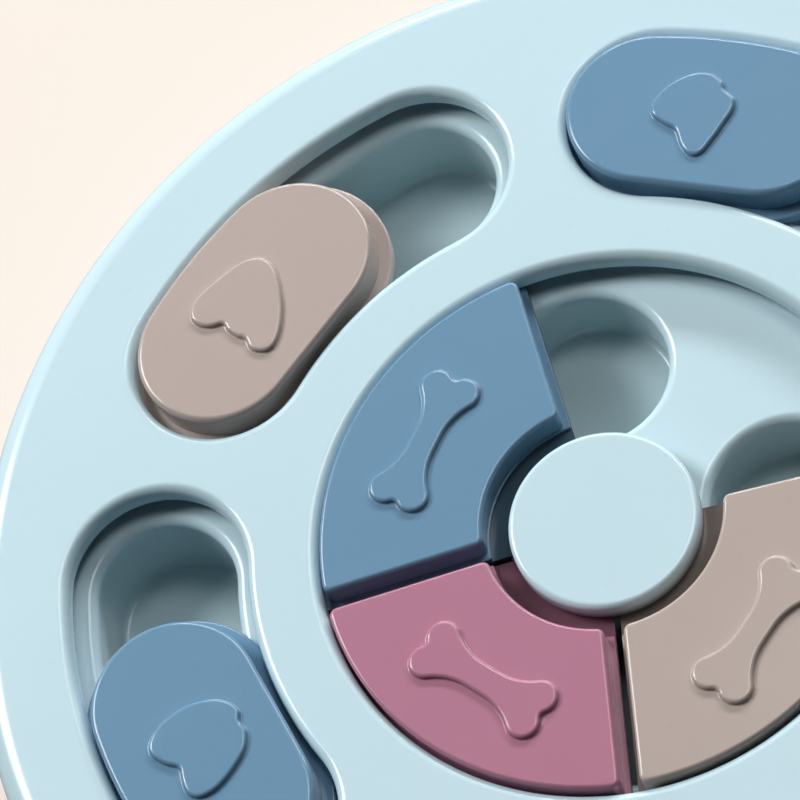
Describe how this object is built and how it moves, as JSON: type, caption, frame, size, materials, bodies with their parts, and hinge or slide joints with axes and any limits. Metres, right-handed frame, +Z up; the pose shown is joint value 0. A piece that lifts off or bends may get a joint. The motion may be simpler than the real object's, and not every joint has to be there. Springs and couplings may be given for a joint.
{
  "type": "dog puzzle feeder",
  "caption": "Round treat puzzle board for dogs: lidded cups under sliding oblong covers around turning sector tiles on a central hub.",
  "frame": {"origin": "centre of the board on the plane its feet stand on", "axes": "+Z up along the turning axis of tiles and covers; the uncovered inner cup lies towards +Y"},
  "size_m": [0.25, 0.25, 0.0318],
  "materials": {
    "pale_cover": "satin moulded plastic, pale blue",
    "pale_tray": "satin moulded plastic, pale blue",
    "blue": "satin moulded plastic, dusty blue",
    "taupe": "satin moulded plastic, warm taupe",
    "pink": "satin moulded plastic, dusty pink",
    "foot_rubber": "soft anti-slip rubber, pale grey",
    "screw": "zinc-plated steel"
  },
  "bodies": {
    "base": {"top_cover": "pale_cover", "outer_bay_1": "pale_tray", "outer_bay_2": "pale_tray", "outer_bay_3": "pale_tray", "outer_bay_4": "pale_tray", "outer_bay_5": "pale_tray", "inner_bay_1": "pale_tray", "inner_bay_2": "pale_tray", "inner_bay_3": "pale_tray", "inner_bay_4": "pale_tray", "hub_cap": "pale_cover", "hub_screw": "screw", "cover_screw_1": "screw", "cover_screw_2": "screw", "cover_screw_3": "screw", "cover_screw_4": "screw", "cover_screw_5": "screw", "foot_1": "foot_rubber", "foot_2": "foot_rubber", "foot_3": "foot_rubber", "foot_4": "foot_rubber", "foot_5": "foot_rubber"},
    "slider_1": {"slider_1": "blue"},
    "slider_2": {"slider_2": "taupe"},
    "slider_3": {"slider_3": "blue"},
    "slider_4": {"slider_4": "pink"},
    "slider_5": {"slider_5": "taupe"},
    "tile_1": {"tile_1": "blue"},
    "tile_2": {"tile_2": "pink"},
    "tile_3": {"tile_3": "taupe"}
  },
  "joints": [
    {"name": "slider_1_travel", "type": "hinge", "parent": "base", "child": "slider_1", "pos_m": [0, 0, 0.0255], "axis": [0, 0, 1], "range_deg": [-21.8, 0]},
    {"name": "slider_2_travel", "type": "hinge", "parent": "base", "child": "slider_2", "pos_m": [0, 0, 0.0255], "axis": [0, 0, 1], "range_deg": [-20.7, 1.1]},
    {"name": "slider_3_travel", "type": "hinge", "parent": "base", "child": "slider_3", "pos_m": [0, 0, 0.0255], "axis": [0, 0, 1], "range_deg": [-18.8, 3]},
    {"name": "slider_4_travel", "type": "hinge", "parent": "base", "child": "slider_4", "pos_m": [0, 0, 0.0255], "axis": [0, 0, 1], "range_deg": [-21.8, 0]},
    {"name": "slider_5_travel", "type": "hinge", "parent": "base", "child": "slider_5", "pos_m": [0, 0, 0.0255], "axis": [0, 0, 1], "range_deg": [-21.8, 0]},
    {"name": "tile_1_turn", "type": "hinge", "parent": "base", "child": "tile_1", "pos_m": [0, 0, 0.0255], "axis": [0, 0, 1], "continuous": true},
    {"name": "tile_2_turn", "type": "hinge", "parent": "tile_1", "child": "tile_2", "pos_m": [0, 0, 0.0255], "axis": [0, 0, 1], "range_deg": [0, 47]},
    {"name": "tile_3_turn", "type": "hinge", "parent": "tile_2", "child": "tile_3", "pos_m": [0, 0, 0.0255], "axis": [0, 0, 1], "range_deg": [0, 47]}
  ]
}
